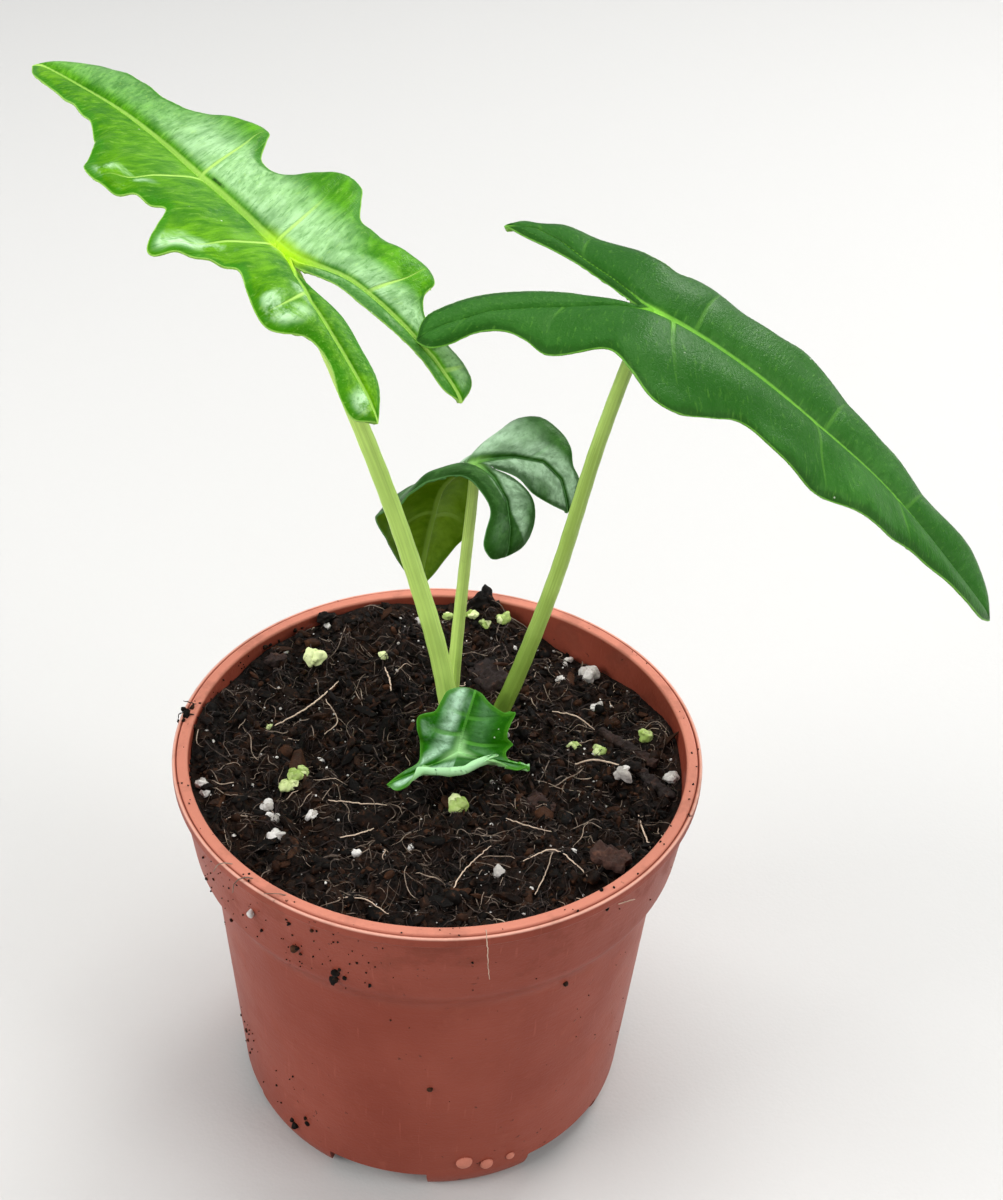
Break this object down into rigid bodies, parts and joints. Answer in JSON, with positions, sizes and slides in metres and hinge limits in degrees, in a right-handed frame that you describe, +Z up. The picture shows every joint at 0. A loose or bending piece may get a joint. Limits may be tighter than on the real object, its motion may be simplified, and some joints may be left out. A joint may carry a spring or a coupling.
{
  "type": "potted alocasia plant",
  "caption": "Young potted alocasia: lobed, arrow-shaped leaves on slender stalks rise from a rootstock set in soil, in a round tapered nursery pot with a broad collar and a notched base.",
  "frame": {"origin": "centre of the flat disc in the middle of the pot's base, on the plane that the pot stands on", "axes": "+Z up along the pot's axis; +Y away from the viewer in the picture, +X to the viewer's right"},
  "size_m": [0.2187, 0.15, 0.2241],
  "materials": {
    "pot_plastic": "satin",
    "potting_soil": "rough, crumbly",
    "rootstock_skin": "matt",
    "stalk_green": "satin",
    "lobed_leaf_green": "glossy",
    "long_leaf_green": "glossy",
    "folded_leaf_green": "glossy",
    "young_leaf_green": "glossy"
  },
  "bodies": {
    "root": {"pot": "pot_plastic", "soil": "potting_soil", "rootstock": "rootstock_skin", "lobed_leaf_stalk": "stalk_green", "lobed_leaf_blade": "lobed_leaf_green", "long_leaf_stalk": "stalk_green", "long_leaf_blade": "long_leaf_green", "folded_leaf_stalk": "stalk_green", "folded_leaf_blade": "folded_leaf_green", "young_leaf_stalk": "stalk_green", "young_leaf_blade": "young_leaf_green"}
  },
  "joints": []
}
